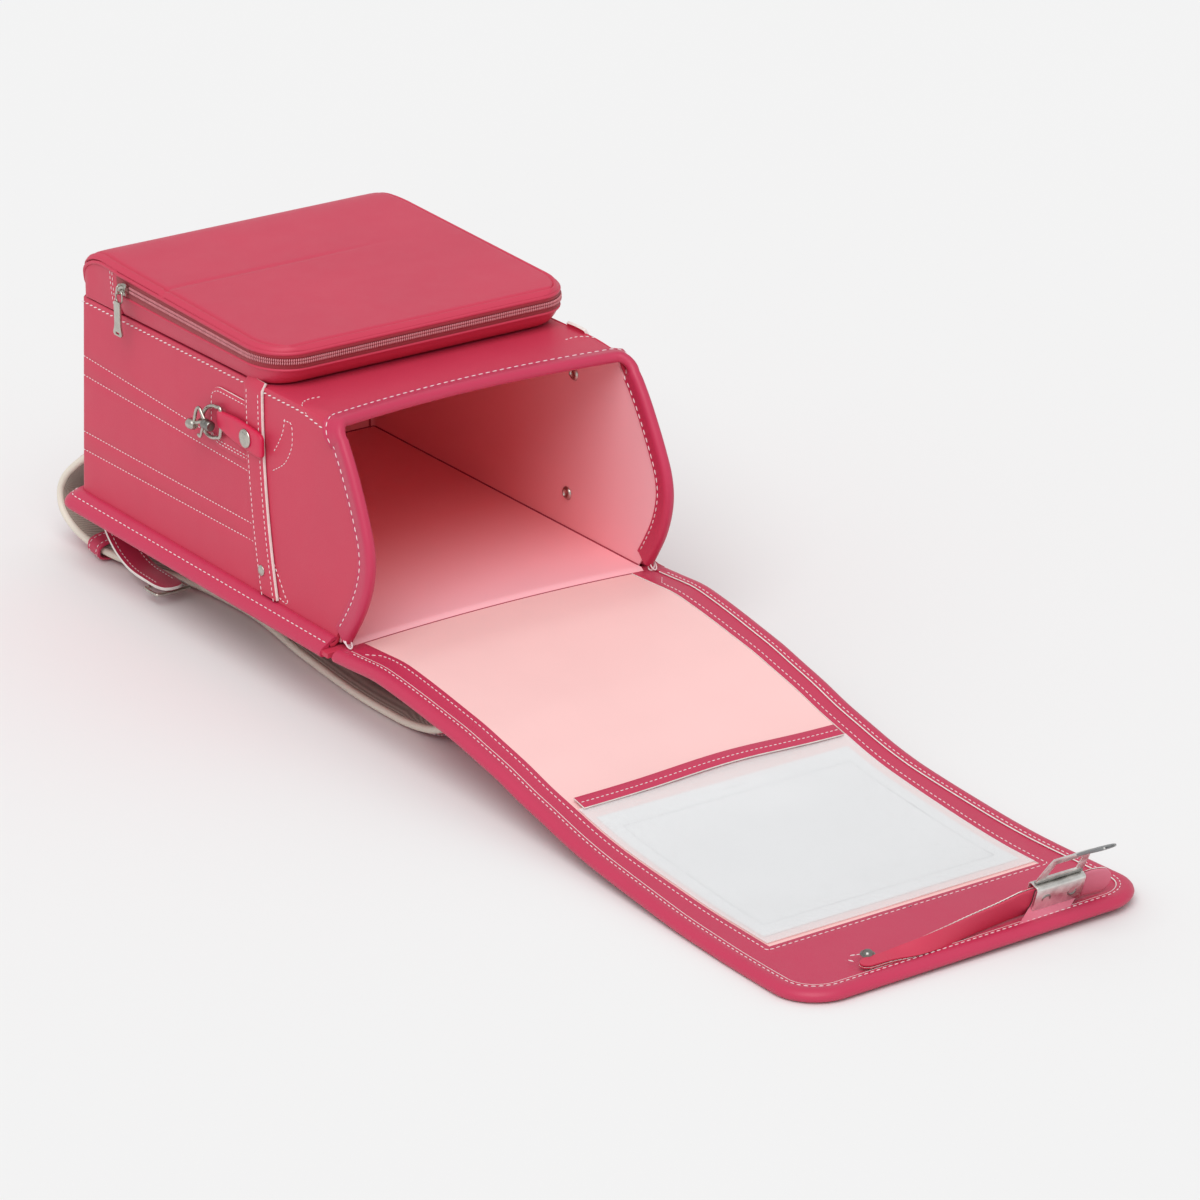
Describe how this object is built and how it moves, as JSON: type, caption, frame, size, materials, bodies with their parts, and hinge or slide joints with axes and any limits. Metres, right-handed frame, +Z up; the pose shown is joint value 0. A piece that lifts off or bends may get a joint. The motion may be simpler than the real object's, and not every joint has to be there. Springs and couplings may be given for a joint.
{
  "type": "school ransel",
  "caption": "Stiff box-shaped leather school backpack lying on its back, mouth open, long flap spread forward with its card pocket, belt and hasp.",
  "frame": {"origin": "under the middle of the whole object's box, on the surface that it lies on", "axes": "+X across the bag towards its far side in the picture, +Y from the flap's tip towards the bag's bottom, +Z up"},
  "size_m": [0.2534, 0.8752, 0.2215],
  "materials": {
    "pink_leather": "smooth coated leather, semi-gloss",
    "pale_lining": "soft pale lining, matt",
    "binding_leather": "coated leather trim, semi-gloss",
    "card_paper": "plain card",
    "clear_film": "clear soft vinyl",
    "zip_textile": "woven zip tape and nylon coil",
    "nickel": "plated, slightly worn",
    "bright_plastic": "moulded, glossy",
    "grey_leather": "matt coated leather, padded on the straps"
  },
  "bodies": {
    "bag": {"side_gusset": "pink_leather", "gusset_lining": "pale_lining", "front_panel": "pink_leather", "front_lining": "pale_lining", "back_panel": "pink_leather", "back_lining": "pale_lining", "mouth_binding": "binding_leather", "back_binding": "binding_leather", "flap": "pink_leather", "flap_lining": "pale_lining", "flap_border": "binding_leather", "flap_piping": "binding_leather", "timetable_card": "card_paper", "clear_pocket": "clear_film", "pocket_header": "binding_leather", "pocket_gusset": "pink_leather", "zip_tape_lower": "zip_textile", "zip_tape_upper": "zip_textile", "zip_chain": "zip_textile", "pocket_top": "pink_leather", "pocket_end_left": "pink_leather", "pocket_end_right": "pink_leather", "zip_slider": "nickel", "side_strap_left": "pink_leather", "hook_patch_left": "pink_leather", "hook_tab_left": "bright_plastic", "tab_rivet_left": "nickel", "strap_rivet_left": "nickel", "inner_eyelet_upper_left": "nickel", "inner_eyelet_lower_left": "nickel", "shoulder_strap_left": "grey_leather", "lower_belt_left": "binding_leather", "belt_keeper_left": "binding_leather", "buckle_left": "nickel", "side_strap_right": "pink_leather", "hook_patch_right": "pink_leather", "hook_tab_right": "bright_plastic", "tab_rivet_right": "nickel", "strap_rivet_right": "nickel", "inner_eyelet_upper_right": "nickel", "inner_eyelet_lower_right": "nickel", "shoulder_strap_right": "grey_leather", "lower_belt_right": "binding_leather", "belt_keeper_right": "binding_leather", "buckle_right": "nickel", "closure_strap": "pink_leather", "closure_rivet": "nickel", "hasp_plate": "nickel", "hasp_tab": "grey_leather", "back_cushion": "grey_leather", "strap_mount": "nickel", "bottom_lock": "nickel"},
    "hook_left": {"hook_ring_left": "nickel", "hook_body_left": "nickel"},
    "gate_left": {"hook_gate_left": "nickel"},
    "hook_right": {"hook_ring_right": "nickel", "hook_body_right": "nickel"},
    "gate_right": {"hook_gate_right": "nickel"},
    "hasp_tongue": {"hasp_tongue": "nickel"},
    "zip_pull": {"zip_pull": "nickel"}
  },
  "joints": [
    {"name": "hook_swing_left", "type": "hinge", "parent": "bag", "child": "hook_left", "pos_m": [-0.11391, 0.20763, 0.154], "axis": [0, 0, 1], "range_deg": [0, 90]},
    {"name": "hook_swing_right", "type": "hinge", "parent": "bag", "child": "hook_right", "pos_m": [0.11391, 0.18008, 0.154], "axis": [0, 0, -1], "range_deg": [0, 90]},
    {"name": "hook_gate_left", "type": "hinge", "parent": "hook_left", "child": "gate_left", "pos_m": [-0.11811, 0.22163, 0.1484], "axis": [1, 0, 0], "range_deg": [0, 10], "stiffness_Nm_per_rad": 0.002},
    {"name": "hook_gate_right", "type": "hinge", "parent": "hook_right", "child": "gate_right", "pos_m": [0.11811, 0.19408, 0.1484], "axis": [1, 0, 0], "range_deg": [0, 10], "stiffness_Nm_per_rad": 0.002},
    {"name": "hasp_tongue_hinge", "type": "hinge", "parent": "bag", "child": "hasp_tongue", "pos_m": [0.06206, -0.39717, 0.0304], "axis": [1, 0, 0], "range_deg": [-60, 60]},
    {"name": "zip_pull_hinge", "type": "hinge", "parent": "bag", "child": "zip_pull", "pos_m": [-0.11752, 0.32064, 0.20772], "axis": [0, 1, 0], "range_deg": [0, 120]}
  ]
}
